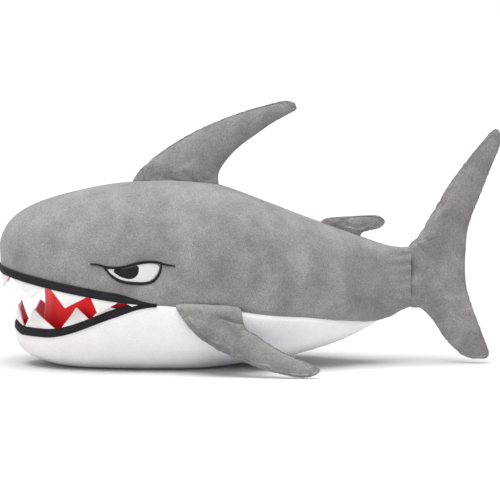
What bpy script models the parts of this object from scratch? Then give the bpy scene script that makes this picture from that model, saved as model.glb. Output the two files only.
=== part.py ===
"""Plush shark: a stuffed toy with sewn plush panels, an open lined mouth with felt teeth, and stuffed fins.

The frame: head towards -X, tail towards +X, the shark's left side towards -Y, +Z up, the floor at z = 0.
Lengths in the tables are millimetres; MM turns them into metres.
Each moving piece hangs from an empty that lies on its joint's axis.
"""
import math

import bmesh
import bpy
from mathutils import Vector

MM = 0.001

# ---- driving dimensions, millimetres ----
SKIN = 1.5                # plush cloth
LINING = 1.0              # satin cloth
LINING_MARGIN = 4.0       # from the outer surface of the lip to the lining's edge
FILL_INSET = 4.2          # from the outer surface of the cloth to the filling
SEAM_GAP = 0.35           # between two panels that meet at a seam
SPINE_GAP = 1.0           # from the mid plane to each back panel
SECTION_POWER = 2.2       # 2 is an ellipse, more is squarer
TAPE_WIDTH = 9.0          # lip binding, seen from the side
TAPE_THICKNESS = 2.6
TAPE_PROUD = 0.8          # how far the binding stands out of the plush
TOOTH_THICKNESS = 2.0
TOOTH_GAP = 1.2           # from the lip's edge to the tooth's root
TOOTH_COLUMNS = 6
TOOTH_SHARPNESS = 0.85    # 1 is a straight-sided tooth, less a fuller one
TOOTH_LEAN = 0.25         # how far the outline draws in towards the tip

CORNER_X, CORNER_Y, CORNER_Z = -108.0, 99.0, 81.8     # mouth corner
UPPER_REACH = 190.0       # from the mouth corner to the front of the upper lip
LOWER_REACH = 172.0       # from the mouth corner to the front of the lower lip
LOWER_HALF_WIDTH = 94.0
UPPER_LIP_RISE = 32.0     # front of the upper lip above the corner
LOWER_LIP_DROP = 33.5     # middle of the lower lip below the corner
LOWER_LIP_FALL = (0.1, 0.78)   # shares of the reach between which the lower lip falls away
LOWER_LIP_CURL = 5.0      # its front turns up again
UPPER_LIP_POWER = 2.3     # fore and aft, how square the lip's plan is; 2 is an ellipse
LOWER_LIP_POWER = 1.9
LIP_CORNER_POWER = 2.2    # the same across the head
UPPER_LIP_BEND = 1.35     # above 1, the lip rises later on its way to the front
TAPE_TAPER = 50.0         # over this length the bindings narrow towards the corner
TAPE_END_WIDTH = 1.2
CHIN_CLEARANCE = 0.5      # from the floor to the chin, so that the jaw can drop a little
CORNER_GAP = 1.0          # from the mouth corner to the rear end of the jaw
PALATE_ARCH = 7.0
FLOOR_DIP = 8.0
LINING_RISE_WIDTH = 30.0  # where the mouth is narrower than twice this, it arches less
THROAT_TUCK = 5.0         # the palate's rear edge turns down by this much
WALL_REACH = 132.0        # the mouth's back wall bows forward by this much between the mouth corners
WALL_HALF_WIDTH = 78.0
WALL_SETBACK = 6.0        # from the mouth corner forward to the wall's rear ends
WALL_GAP = 1.9            # from the middle of the other linings to the wall's edges
WALL_HOLLOW = 4.0         # how far the wall is drawn in at half its height

UPPER_COLUMNS = 7         # faces from the seam to the spine
LOWER_COLUMNS = 6         # faces from the seam to the keel

# Ridge of the head above each row of the upper lip, front to mouth corner: (x, z).
HEAD_RIDGE = [(-300, 142), (-299, 151), (-295.5, 160.5), (-290, 170.5), (-281, 180), (-266, 189.5),
              (-246, 198), (-222, 205), (-197, 211), (-172, 216), (-141, 220), (-108, 221.5)]
# Keel of the jaw below each row of the lower lip, front to mouth corner: (x, z). Below 0 it rests flat.
JAW_KEEL = [(-282.5, 40), (-281.5, 32), (-277, 23), (-269, 15.5), (-256, 8.5), (-238, 2), (-216, -4),
            (-192, -8), (-166, -10), (-142, -11), (-119, -11)]
# Trunk behind the mouth: (x, half width, z of greatest width, ridge z, keel z, side seam z).
TRUNK = [
    (-107.5, 99.5, 81.8, 221.5, -10, 81.8),
    (-84, 102, 80.5, 221.5, -10, 80.5),
    (-60, 103, 81.5, 220, -8, 81.5),
    (-36, 101.5, 80.5, 216, -3, 80.5),
    (-14, 99, 79, 208, 1, 75.5),
    (12, 94, 77, 198, 4, 70.5),
    (36, 88, 76, 189, 8, 67.5),
    (62, 79, 76, 179.5, 14, 65),
    (88, 67, 78, 170.5, 22, 61),
    (112, 53, 83, 162, 30.5, 57),
    (136, 38, 90, 152.5, 41.5, 53.5),
    (160, 24, 97, 144.5, 53.5, 55),
    (178, 16, 102, 141.5, 62, 62),
    (193, 11.5, 105, 141, 69.5, 69.5),
]
SEAM_END_ROW = 11         # the last row that still has a white panel

# Teeth along each half of a lip, from the mid line: (start, end, height, place of the tip from 0 to 1).
UPPER_TEETH = [(1.5, 44, 16, 0.55), (48, 104, 18, 0.62), (110, 156, 19, 0.4), (161, 194, 18, 0.25),
               (204, 217, 2.6, 0.5)]
LOWER_TEETH = [(1.5, 34, 22, 0.5), (37.5, 87, 22, 0.36), (96, 134, 20, 0.56), (139, 171, 9, 0.45)]

# Embroidered eye, seen from the side: (x, z).
EYE_WHITE = [(-164, 122.6), (-159, 117.8), (-149, 112.8), (-136, 110.6), (-123, 110.4), (-115, 113),
             (-109, 119.5), (-107, 126.5), (-113, 129.2), (-121, 129), (-132, 127), (-144, 123.9),
             (-156, 122.4)]
EYE_PUPIL = [(-157, 122), (-154.5, 119), (-149, 116), (-141, 114), (-135.5, 115), (-131.8, 118.4),
             (-130.6, 122.8), (-131.4, 126.4), (-138, 125), (-146, 123)]
BROW_LINE = [(-186, 129.6), (-176, 128.6), (-166, 126), (-156, 125.3), (-144, 127), (-132, 130.4),
             (-120, 132.3), (-108, 132), (-98, 129.4), (-86.5, 128)]
LOWER_LID_LINE = [(-166.4, 121.6), (-160, 115.2), (-149.5, 109.8), (-136, 107.8), (-122, 107.6),
                  (-112.3, 110.6), (-105.8, 118), (-103.8, 125.4)]
LINE_WIDTH = 3.4
EYE_THREAD = 0.9          # thickness of the embroidery
EYE_STANDOFF = 1.1        # from the back skin's outer surface to the embroidery
EYE_LAYER = 1.4           # from one layer of embroidery to the next
EYE_BEND_START = -162.5   # the first of the cuts that let a flat panel bend over the head
EYE_BEND_STEP = 6.0
EYE_BENDS = 10
PANEL_DISTANCE = 150.0    # from the mid plane to where the flat panels are drawn

# Fins: rows from the root to the tip, (front edge, rear edge, half thickness).
DORSAL_FIN = [
    ((-139, 226.5), (-38, 222), 6.5),
    ((-131, 234), (-37, 230), 11.0),
    ((-111, 252), (-28, 245), 11.5),
    ((-84, 270), (-14, 260), 10.5),
    ((-50, 287), (6, 275), 9.0),
    ((-12, 302), (26, 289), 7.0),
    ((26, 313), (44, 299), 5.0),
    ((44, 316.5), (54, 303.5), 3.4),
    ((54, 314), (56, 307), 1.8),
]
REAR_DORSAL_FIN = [
    ((89, 176.2), (135, 159.3), 4.2),
    ((104, 177.3), (141, 160.5), 5.8),
    ((122, 178.5), (149, 162.5), 5.5),
    ((139, 179.3), (156, 164.5), 4.6),
    ((151, 179.5), (161.5, 169.5), 3.2),
    ((157, 178), (162, 173), 1.8),
]
# The tail's rows run from the upper tip to the lower tip. The last value is how open the front edge is.
TAIL_FIN = [
    ((292, 282), (300, 276), 1.8, 0),
    ((281, 272), (299, 262), 3.2, 0),
    ((261, 247), (289, 238), 5.5, 0),
    ((239, 217), (277, 207), 7.5, 0),
    ((219, 182), (266, 179), 9.0, 0),
    ((205.5, 154), (261, 160), 10.0, 0.3),
    ((202, 137), (259.5, 143), 10.0, 0.9),
    ((202, 106), (258.5, 122), 10.0, 1.0),
    ((202, 77), (259.5, 100), 10.0, 0.9),
    ((209, 68), (264, 79), 9.0, 0.2),
    ((220, 52), (272, 57), 7.5, 0),
    ((235, 30), (280, 36), 5.5, 0),
    ((252, 14), (287, 17), 3.6, 0),
    ((265, 7), (287, 8), 2.0, 0),
]
# The left pectoral fin, rows from its root: (front point, rear point, half thickness), each point (x, y, z).
PECTORAL_FIN = [
    ((-83, -107, 76), (-10, -105.5, 70), 2.6),
    ((-70, -109, 57), (-5, -109, 57), 5.5),
    ((-50, -111, 40), (12, -113, 46), 7.0),
    ((-22, -116, 25), (32, -117, 33.5), 6.8),
    ((10, -121, 11.5), (52, -120.5, 24.5), 6.0),
    ((38, -125, 3.6), (68, -123.5, 18), 4.6),
    ((58, -128, 1.1), (77, -126, 13), 3.2),
    ((70, -128, 2.6), (79, -127, 9), 2.0),
]
FIN_COLUMNS = 6
FIN_SKIN = 1.2
FIN_EDGE = 1.45           # half thickness of the sewn edge
FIN_FILL_INSET = 4.2      # from a fin's outline to its filling
FIN_FILL_LEAST = 0.3      # half thickness of the filling where the fin is thinnest
FIN_ROUNDNESS = 0.7       # of a fin's section: 1 is a parabola, less is fuller
PECTORAL_SLANT = (0.955, 0.297)   # out and up, square to the pectoral fin's outer panel

# Joint axes, millimetres.
JAW_HINGE = (CORNER_X, 0, CORNER_Z)
DORSAL_HINGE = (-87, 0, 223.5)
REAR_DORSAL_HINGE = (111, 0, 165.6)
TAIL_HINGE = (196, 0, 105)
PECTORAL_HINGE = (-47, 104.5, 78.5)

COLOURS = {               # base colour, roughness
    "grey_plush": ((0.36, 0.35, 0.35), 0.95),
    "white_plush": ((0.84, 0.81, 0.84), 0.95),
    "black_binding": ((0.02, 0.018, 0.022), 0.7),
    "red_satin": ((0.6, 0.01, 0.015), 0.4),
    "white_felt": ((0.88, 0.87, 0.86), 0.95),
    "black_thread": ((0.012, 0.011, 0.013), 0.6),
    "white_thread": ((0.9, 0.9, 0.9), 0.6),
    "fibre_filling": ((0.8, 0.8, 0.78), 1.0),
}


# ---- tools ----
def clear_scene():
    for item in list(bpy.data.objects):
        bpy.data.objects.remove(item, do_unlink=True)


def make_material(name):
    colour, roughness = COLOURS[name]
    material = bpy.data.materials.new(name)
    material.use_nodes = True
    shader = material.node_tree.nodes["Principled BSDF"]
    shader.inputs["Base Color"].default_value = (*colour, 1.0)
    shader.inputs["Roughness"].default_value = roughness
    shader.inputs["Metallic"].default_value = 0.0
    return material


def smoothstep(low, high, value):
    share = min(max((value - low) / (high - low), 0.0), 1.0)
    return share * share * (3.0 - 2.0 * share)


def mix(start, end, share):
    return start + (end - start) * share


def power_cos(angle, power):
    return max(math.cos(angle), 0.0) ** (2.0 / power)


def power_sin(angle, power):
    return math.copysign(abs(math.sin(angle)) ** (2.0 / power), angle)


def grid_object(name, rows, material, flip=False, parent=None):
    """A surface through equal rows of points, in millimetres; points that coincide are welded."""
    surface = bmesh.new()
    lines = [[surface.verts.new(Vector(point) * MM) for point in row] for row in rows]
    for line, following in zip(lines, lines[1:]):
        for index in range(len(line) - 1):
            corners = [line[index], line[index + 1], following[index + 1], following[index]]
            surface.faces.new(corners[::-1] if flip else corners)
    bmesh.ops.remove_doubles(surface, verts=surface.verts, dist=2e-5)
    loose = [edge for edge in surface.edges if not edge.link_faces]
    bmesh.ops.delete(surface, geom=loose, context="EDGES")
    mesh = bpy.data.meshes.new(name)
    surface.to_mesh(mesh)
    surface.free()
    mesh.shade_smooth()
    item = bpy.data.objects.new(name, mesh)
    item.data.materials.append(MATERIALS[material])
    COLLECTION.objects.link(item)
    if parent is not None:
        item.parent = parent
        item.matrix_parent_inverse = parent.matrix_world.inverted()
    return item


def add_mirror(item):
    mirror = item.modifiers.new("Mirror", "MIRROR")
    mirror.use_axis = (False, True, False)
    mirror.use_clip = True
    mirror.merge_threshold = 0.00005


def add_cloth(item, thickness, proud=0.0):
    """Gives an open surface its thickness inwards; proud is the share of it that stands outside."""
    cloth = item.modifiers.new("Cloth", "SOLIDIFY")
    cloth.thickness = thickness * MM
    cloth.offset = -1.0 + 2.0 * proud


def make_hinge(name, place):
    """An empty on a joint's axis; a left-right pair is made by a sign on the place's y."""
    hinge = bpy.data.objects.new(name, None)
    hinge.location = Vector(place) * MM
    hinge.empty_display_size = 0.02
    COLLECTION.objects.link(hinge)
    bpy.context.view_layer.update()
    return hinge


def mirrored(rows):
    return [[(x, -y, z) for x, y, z in row] for row in rows]


# ---- lips ----
def upper_lip(angle):
    """Point on the upper lip's edge: angle 0 at the front, a quarter turn at the mouth corner."""
    reach = power_cos(angle, UPPER_LIP_POWER)
    rise = UPPER_LIP_RISE * reach ** UPPER_LIP_BEND
    return (CORNER_X - UPPER_REACH * reach, CORNER_Y * power_sin(angle, LIP_CORNER_POWER), CORNER_Z + rise)


def lower_lip(angle):
    reach = power_cos(angle, LOWER_LIP_POWER)
    drop = LOWER_LIP_DROP * smoothstep(*LOWER_LIP_FALL, reach)
    curl = LOWER_LIP_CURL * smoothstep(0.93, 1.0, reach)
    rear = CORNER_X - CORNER_GAP
    return (rear - (LOWER_REACH - CORNER_GAP) * reach, LOWER_HALF_WIDTH * math.sin(angle), CORNER_Z - drop + curl)


def tape_width(x):
    """The bindings narrow to a point at the mouth corner."""
    return mix(TAPE_END_WIDTH, TAPE_WIDTH, smoothstep(0.0, TAPE_TAPER, CORNER_X - x))


def row_angles(count):
    return [math.pi / 2.0 * index / (count - 1) for index in range(count)]


def lip_by_length(lip, steps=400):
    """Returns a function from a length along the lip, from its front, to the point there."""
    points = [Vector(lip(math.pi / 2.0 * step / steps)) for step in range(steps + 1)]
    lengths = [0.0]
    for before, after in zip(points, points[1:]):
        lengths.append(lengths[-1] + (after - before).length)

    def place(length):
        for index in range(steps):
            if lengths[index + 1] >= length:
                share = (length - lengths[index]) / (lengths[index + 1] - lengths[index])
                return points[index].lerp(points[index + 1], share)
        return points[-1]
    return place


# ---- body surface ----
def arc_point(seam, ridge, angle):
    """A point on the quarter section from the seam (angle 0) to the ridge or keel (a quarter turn)."""
    across = power_cos(angle, SECTION_POWER)
    up = power_sin(angle, SECTION_POWER)
    return (mix(seam[0], ridge[0], up), seam[1] * across, max(mix(seam[2], ridge[1], up), 0.0))


def angle_at_height(height, full_height):
    """The section angle at which the surface is a given height from the seam."""
    return math.asin(min(max(height / full_height, 0.0), 1.0) ** (SECTION_POWER / 2.0))


def arc_row(seam, ridge, start_height, columns):
    """Points from a height above the seam up to the ridge, or down to the keel."""
    start = angle_at_height(start_height, abs(ridge[1] - seam[2]))
    return [arc_point(seam, ridge, mix(start, math.pi / 2.0, index / columns)) for index in range(columns + 1)]


def trunk_row(station, start, end, columns):
    """Points of a trunk section between two heights."""
    x, half_width, middle, ridge, keel, _seam = station

    def angle(height):
        if height >= middle:
            return angle_at_height(height - middle, ridge - middle)
        return -angle_at_height(middle - height, middle - keel)

    row = []
    for index in range(columns + 1):
        turn = mix(angle(start), angle(end), index / columns)
        up = power_sin(turn, SECTION_POWER)
        z = middle + up * ((ridge - middle) if up > 0 else (middle - keel))
        row.append((x, half_width * power_cos(turn, SECTION_POWER), max(z, 0.0)))
    return row


def head_rows(edge_height):
    """The head above a height over the upper lip, row by row from the nose to the mouth corner."""
    rows = []
    for angle, ridge in zip(row_angles(len(HEAD_RIDGE)), HEAD_RIDGE):
        lip = upper_lip(angle)
        rows.append(arc_row(lip, ridge, edge_height(lip[0]) + SEAM_GAP, UPPER_COLUMNS))
    return rows


def across_row(edge, height, columns, first_share=0.0):
    """From an edge point to the mid line, where it has risen by a height (a negative one sinks)."""
    row = []
    for index in range(columns + 1):
        share = mix(first_share, 1.0, index / columns)
        rise = height * (1.0 - (1.0 - share) ** 2) * smoothstep(0.0, LINING_RISE_WIDTH, edge[1])
        row.append((edge[0], edge[1] * (1.0 - share), edge[2] + rise))
    return row


def closing_row(ring):
    """Points on the mid plane from a half ring's first point to its last, which close the end of a loft."""
    lengths = [0.0]
    for before, after in zip(ring, ring[1:]):
        lengths.append(lengths[-1] + (Vector(after) - Vector(before)).length)
    return [tuple(Vector(ring[0]).lerp(Vector(ring[-1]), length / lengths[-1])) for length in lengths]


def jaw_rows(edge_height):
    """The chin below a height under the lower lip, from the front to the mouth corner, just clear of the floor."""
    rows = []
    for angle, keel in zip(row_angles(len(JAW_KEEL)), JAW_KEEL):
        lip = lower_lip(angle)
        row = arc_row(lip, keel, edge_height(lip[0]) + SEAM_GAP, LOWER_COLUMNS)
        rows.append([(x, y, max(z, CHIN_CLEARANCE)) for x, y, z in row])
    return rows


def lining_height(_x):
    return TAPE_WIDTH


def filling_height(_x):
    """The filling's edge runs a little inside the lining's."""
    return TAPE_WIDTH + 2.0


# ---- skins and filling ----
def make_back_skin():
    """Grey plush back, one panel a side, sewn along the spine."""
    rows = head_rows(tape_width)
    for station in TRUNK:
        seam = station[5] if station[5] > station[4] else station[4]
        rows.append(trunk_row(station, seam + SEAM_GAP, station[3], UPPER_COLUMNS))
    trimmed = []
    for row in rows:
        trimmed.append([(x, -max(y, SPINE_GAP), z) for x, y, z in row])
    for side, panel in (("left", trimmed), ("right", mirrored(trimmed))):
        add_cloth(grid_object("back_skin_" + side, panel, "grey_plush", flip=side == "left"), SKIN)


def make_belly_skin():
    rows = []
    for station in TRUNK[:SEAM_END_ROW + 1]:
        rows.append(trunk_row(station, station[5] - SEAM_GAP, station[4], LOWER_COLUMNS))
    skin = grid_object("belly_skin", rows, "white_plush", flip=True)
    add_mirror(skin)
    add_cloth(skin, SKIN)


def make_chin_skin(hinge):
    skin = grid_object("chin_skin", jaw_rows(tape_width), "white_plush", flip=True, parent=hinge)
    add_mirror(skin)
    add_cloth(skin, SKIN)


def inset_ring(ring, backwards):
    """A half ring drawn in from the cloth; backwards is 1 to move it towards the tail, -1 towards the nose."""
    half_width = max(point[1] for point in ring)
    low = min(point[2] for point in ring)
    high = max(point[2] for point in ring)
    middle = (low + high) / 2.0
    narrower = 1.0 - FILL_INSET / half_width
    flatter = 1.0 - 2.0 * FILL_INSET / (high - low)
    return [(x + FILL_INSET * backwards, y * narrower, mix(middle, z, flatter)) for x, y, z in ring]


def make_filling(name, rings, flip, parent=None):
    closed = [closing_row(rings[0])] + rings + [closing_row(rings[-1])]
    add_mirror(grid_object(name, closed, "fibre_filling", flip=flip, parent=parent))


def make_body_filling():
    """One closed body of fibre: the head above the palate, and the trunk."""
    rings = []
    for outer in head_rows(filling_height)[2:]:
        ring = outer[::-1] + across_row(outer[0], PALATE_ARCH, LOWER_COLUMNS)[1:]
        rings.append(inset_ring(ring, 1.0))
    for station in TRUNK:
        seam = max(station[5], station[4])
        upper = trunk_row(station, seam, station[3], UPPER_COLUMNS)
        ring = upper[::-1] + trunk_row(station, seam, station[4], LOWER_COLUMNS)[1:]
        rings.append(inset_ring(ring, 1.0 - 2.0 * smoothstep(CORNER_X, TRUNK[-1][0], station[0])))
    make_filling("body_filling", rings, flip=True)


def make_jaw_filling(hinge):
    rings = []
    outers = jaw_rows(filling_height)[3:]
    for index, outer in enumerate(outers):
        ring = outer[::-1] + across_row(outer[0], -FLOOR_DIP, LOWER_COLUMNS)[1:]
        rings.append(inset_ring(ring, 1.0 - 2.0 * index / (len(outers) - 1)))
    make_filling("jaw_filling", rings, flip=False, parent=hinge)


# ---- mouth ----
def lining_rows(outer_rows, height):
    """A lining from just inside the binding, at the filling's edge, to the mid line."""
    rows = []
    for outer in outer_rows:
        first_share = min(LINING_MARGIN / max(outer[0][1], LINING_MARGIN), 1.0)
        rows.append(across_row(outer[0], height, LOWER_COLUMNS, first_share))
    return rows


def make_palate_lining():
    """Red satin roof of the mouth, turned down at the throat."""
    rows = lining_rows(head_rows(lining_height)[3:], PALATE_ARCH)
    rows.append([(x + 0.2, y, CORNER_Z - THROAT_TUCK) for x, y, z in rows[-1]])
    lining = grid_object("palate_lining", rows, "red_satin", flip=True)
    add_mirror(lining)
    add_cloth(lining, LINING)


def make_mouth_floor_lining(hinge):
    rows = lining_rows(jaw_rows(lining_height)[3:], -FLOOR_DIP)
    lining = grid_object("mouth_floor_lining", rows, "red_satin", parent=hinge)
    add_mirror(lining)
    add_cloth(lining, LINING)


def height_over(rows, x, y):
    """Height of a lining at a place in plan; each of its rows has one x, and runs from the edge to the mid line."""
    heights = []
    for row in rows:
        for outer, inner in zip(row, row[1:]):
            if inner[1] <= y:
                share = (y - inner[1]) / max(outer[1] - inner[1], 1e-6)
                heights.append((row[0][0], mix(inner[2], outer[2], min(share, 1.0))))
                break
    for (before, low), (after, high) in zip(heights, heights[1:]):
        if before <= x <= after:
            return mix(low, high, (x - before) / (after - before))
    return heights[-1][1]


def make_mouth_wall():
    """Red satin back of the mouth: it bows forward between the corners, and folds when the jaw closes."""
    palate = lining_rows(head_rows(lining_height)[3:], PALATE_ARCH)
    floor = lining_rows(jaw_rows(lining_height)[3:], -FLOOR_DIP)
    rows = []
    for step in range(13):
        angle = math.pi / 2.0 * step / 12
        x = CORNER_X - WALL_SETBACK - WALL_REACH * math.cos(angle)
        y = WALL_HALF_WIDTH * math.sin(angle)
        top = height_over(palate, x, y) - WALL_GAP
        bottom = height_over(floor, x, y) + WALL_GAP
        row = []
        for share in (0.0, 0.25, 0.5, 0.75, 1.0):
            inwards = WALL_HOLLOW * math.sin(math.pi * share)
            row.append((x + inwards * math.cos(angle), y - inwards * math.sin(angle), mix(bottom, top, share)))
        rows.append(row)
    rows[0] = [(x, 0.0, z) for x, _y, z in rows[0]]
    wall = grid_object("mouth_wall_lining", rows, "red_satin")
    add_mirror(wall)
    add_cloth(wall, LINING)


def make_binding(name, lip, ridges, flip, parent=None):
    """Black tape folded over a lip, from corner to corner round the front."""
    rows = []
    for angle, ridge in zip(row_angles(len(ridges)), ridges):
        edge = lip(angle)
        width = tape_width(edge[0])
        full = abs(ridge[1] - edge[2])
        turns = [angle_at_height(height, full) for height in (0.0, width * 0.5, width)]
        rows.append([arc_point(edge, ridge, turn) for turn in turns])
    tape = grid_object(name, rows, "black_binding", flip=flip, parent=parent)
    add_mirror(tape)
    add_cloth(tape, TAPE_THICKNESS, proud=TAPE_PROUD / TAPE_THICKNESS)


def tooth_rows(place, start, end, height, tip, direction, side):
    """Columns along the lip, each from the binding's edge to the tooth's outline."""
    rows = []
    for step in range(TOOTH_COLUMNS + 1):
        share = step / TOOTH_COLUMNS
        base = place(mix(start, end, share))
        rise = share / tip if share < tip else (1.0 - share) / (1.0 - tip)
        length = height * min(rise, 1.0) ** TOOTH_SHARPNESS
        root = base.z + direction * TOOTH_GAP
        drift = (tip - share) * TOOTH_LEAN * (end - start)
        toe = place(mix(start, end, share) + drift * length / height)
        middle = base.lerp(toe, 0.5)
        rows.append([(base.x, side * base.y, root), (middle.x, side * middle.y, root + direction * length * 0.5),
                     (toe.x, side * toe.y, root + direction * length)])
    return rows


def make_teeth(prefix, lip, table, direction, parent=None):
    """White felt teeth, one plate each, following the lip."""
    place = lip_by_length(lip)
    for side_name, side in (("left", -1.0), ("right", 1.0)):
        for number, (start, end, height, tip) in enumerate(table, start=1):
            rows = tooth_rows(place, start, end, height, tip, direction, side)
            name = f"{prefix}_tooth_{side_name}_{number}"
            tooth = grid_object(name, rows, "white_felt", flip=side * direction > 0, parent=parent)
            add_cloth(tooth, TOOTH_THICKNESS)


# ---- eyes ----
def flat_outline(name, points, material, side):
    """A flat panel beside the head, cut into narrow strips so that it can bend over the head."""
    panel = bmesh.new()
    depth = side * PANEL_DISTANCE
    panel.faces.new([panel.verts.new(Vector((x, depth, z)) * MM) for x, z in points])
    for step in range(EYE_BENDS):
        cut = (EYE_BEND_START + EYE_BEND_STEP * step, 0.0, 0.0)
        bmesh.ops.bisect_plane(panel, geom=panel.verts[:] + panel.edges[:] + panel.faces[:],
                               plane_co=Vector(cut) * MM, plane_no=(1.0, 0.0, 0.0))
    bmesh.ops.triangulate(panel, faces=panel.faces)
    return finish_eye_panel(name, panel, material, side)


def stitched_line(name, points, material, side):
    """A line of thread with pointed ends, as a strip beside the head."""
    panel = bmesh.new()
    depth = side * PANEL_DISTANCE
    last = len(points) - 1
    pairs = []
    for index, (x, z) in enumerate(points):
        before = Vector(points[max(index - 1, 0)])
        after = Vector(points[min(index + 1, last)])
        along = (after - before).normalized()
        fullness = math.sqrt(max(math.sin(math.pi * index / last), 0.0))
        offset = Vector((-along.y, along.x)) * LINE_WIDTH * mix(0.25, 0.5, fullness)
        pairs.append([panel.verts.new(Vector((x + sign * offset.x, depth, z + sign * offset.y)) * MM)
                      for sign in (-1.0, 1.0)])
    for (low, high), (next_low, next_high) in zip(pairs, pairs[1:]):
        panel.faces.new([low, next_low, next_high, high])
    return finish_eye_panel(name, panel, material, side)


def finish_eye_panel(name, panel, material, side):
    panel.normal_update()
    if sum(face.normal.y for face in panel.faces) * side < 0:
        bmesh.ops.reverse_faces(panel, faces=panel.faces)
    mesh = bpy.data.meshes.new(name)
    panel.to_mesh(mesh)
    panel.free()
    item = bpy.data.objects.new(name, mesh)
    item.data.materials.append(MATERIALS[material])
    COLLECTION.objects.link(item)
    return item


def lay_on_head(item, side_name, standoff):
    """Wraps an embroidered piece onto the back skin of its side."""
    wrap = item.modifiers.new("Wrap", "SHRINKWRAP")
    wrap.target = bpy.data.objects["back_skin_" + side_name]
    wrap.wrap_method = "PROJECT"
    wrap.use_project_x = False
    wrap.use_project_y = True
    wrap.use_project_z = False
    wrap.use_positive_direction = True
    wrap.use_negative_direction = True
    wrap.cull_face = "BACK"
    wrap.wrap_mode = "ABOVE_SURFACE"
    wrap.offset = standoff * MM
    thread = item.modifiers.new("Thread", "SOLIDIFY")
    thread.thickness = EYE_THREAD * MM
    thread.offset = 1.0


def make_eyes():
    for side_name, side in (("left", -1.0), ("right", 1.0)):
        white = flat_outline("eye_white_" + side_name, EYE_WHITE, "white_thread", side)
        lay_on_head(white, side_name, EYE_STANDOFF)
        pupil = flat_outline("eye_pupil_" + side_name, EYE_PUPIL, "black_thread", side)
        lay_on_head(pupil, side_name, EYE_STANDOFF + EYE_LAYER)
        brow = stitched_line("eye_brow_line_" + side_name, BROW_LINE, "black_thread", side)
        lay_on_head(brow, side_name, EYE_STANDOFF + EYE_LAYER)
        lid = stitched_line("eye_lower_line_" + side_name, LOWER_LID_LINE, "black_thread", side)
        lay_on_head(lid, side_name, EYE_STANDOFF)


# ---- fins ----
def bulge(share, open_front):
    """Thickness across a fin's chord: 1 in the middle, 0 at a sewn edge, more at an open front edge."""
    curve = (1.0 - (2.0 * share - 1.0) ** 2) ** FIN_ROUNDNESS
    return mix(curve, max(curve, open_front), 1.0 if share < 0.5 else 0.0)


def fin_surface(rows, edge, inset):
    """Rows of (point in the fin's middle plane, half thickness); inset shrinks chord, ends and thickness."""
    surface = []
    for front, rear, half_thickness, open_front in rows:
        front, rear = Vector(front), Vector(rear)
        chord = max((rear - front).length, 0.1)
        margin = min(inset / chord, 0.3)
        row = []
        for index in range(FIN_COLUMNS + 1):
            share = index / FIN_COLUMNS
            swell = bulge(share, open_front)
            place = front.lerp(rear, mix(margin, 1.0 - margin, share))
            row.append((place, edge + max(half_thickness - edge - inset * 0.8, FIN_FILL_LEAST) * swell))
        surface.append(row)
    return surface


def standing_row(row):
    """Rows of a fin that stands in the mid plane."""
    front, rear, half_thickness = row[:3]
    open_front = row[3] if len(row) > 3 else 0.0
    return ((front[0], 0.0, front[1]), (rear[0], 0.0, rear[1]), half_thickness, open_front)


def make_fin(name, table, side_names, out, root_drop, hinge):
    """Two plush panels sewn along their edge, and the filling between them.

    out points from the second panel to the first; root_drop rounds the filling's root end.
    """
    outward = Vector(out)
    panels = fin_surface(table, FIN_EDGE, 0.0)
    for side_name, sign in zip(side_names, (1.0, -1.0)):
        rows = [[tuple(place + outward * sign * half) for place, half in row] for row in panels]
        panel = grid_object(f"{name}_{side_name}_panel", rows, "grey_plush", parent=hinge)
        face_outwards(panel, outward * sign)
        add_cloth(panel, FIN_SKIN)
    inner = fin_surface(table, 0.0, FIN_FILL_INSET)
    rings = []
    for row in inner:
        near = [place + outward * half for place, half in row]
        far = [place - outward * half for place, half in row]
        rings.append(near + far[::-1] + near[:1])
    for index, drop in ((0, Vector(root_drop)), (-1, Vector((0.0, 0.0, 0.0)))):
        places = [place for place, half in inner[index]]
        middle = places[:1] + [place + drop for place in places[1:-1]] + places[-1:]
        rings.insert(0 if index == 0 else len(rings), middle + middle[::-1] + middle[:1])
    filling = grid_object(name + "_filling", rings, "fibre_filling", parent=hinge)
    turn_outwards(filling.data)


def turn_outwards(mesh):
    """Makes a closed surface's faces point out of it."""
    closed = bmesh.new()
    closed.from_mesh(mesh)
    bmesh.ops.recalc_face_normals(closed, faces=closed.faces)
    if closed.calc_volume(signed=True) < 0.0:
        bmesh.ops.reverse_faces(closed, faces=closed.faces)
    closed.to_mesh(mesh)
    closed.free()


def face_outwards(panel, outward):
    """Turns an open panel's faces towards its outer side."""
    total = sum((face.normal * face.area for face in panel.data.polygons), Vector())
    if total.dot(outward) < 0:
        panel.data.flip_normals()


def make_pectoral_fins():
    hinge_x, hinge_y, hinge_z = PECTORAL_HINGE
    for side_name, side in (("left", -1.0), ("right", 1.0)):
        hinge = make_hinge(f"pectoral_hinge_{side_name}", (hinge_x, side * hinge_y, hinge_z))
        table = []
        for front, rear, half_thickness in PECTORAL_FIN:
            front = (front[0], -side * front[1], front[2])
            rear = (rear[0], -side * rear[1], rear[2])
            table.append((front, rear, half_thickness, 0.0))
        out = (0.0, side * PECTORAL_SLANT[0], PECTORAL_SLANT[1])
        make_fin(f"pectoral_fin_{side_name}", table, ("outer", "inner"), out, (0.0, side * 0.2, 1.5), hinge)


def make_standing_fins():
    dorsal = make_hinge("dorsal_hinge", DORSAL_HINGE)
    make_fin("dorsal_fin", [standing_row(row) for row in DORSAL_FIN], ("right", "left"), (0, 1, 0),
             (0.0, 0.0, -1.5), dorsal)
    rear = make_hinge("rear_dorsal_hinge", REAR_DORSAL_HINGE)
    make_fin("rear_dorsal_fin", [standing_row(row) for row in REAR_DORSAL_FIN], ("right", "left"), (0, 1, 0),
             (-0.3, 0.0, -0.8), rear)
    tail = make_hinge("tail_hinge", TAIL_HINGE)
    make_fin("tail_fin", [standing_row(row) for row in TAIL_FIN], ("right", "left"), (0, 1, 0), (0, 0, 0), tail)


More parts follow.
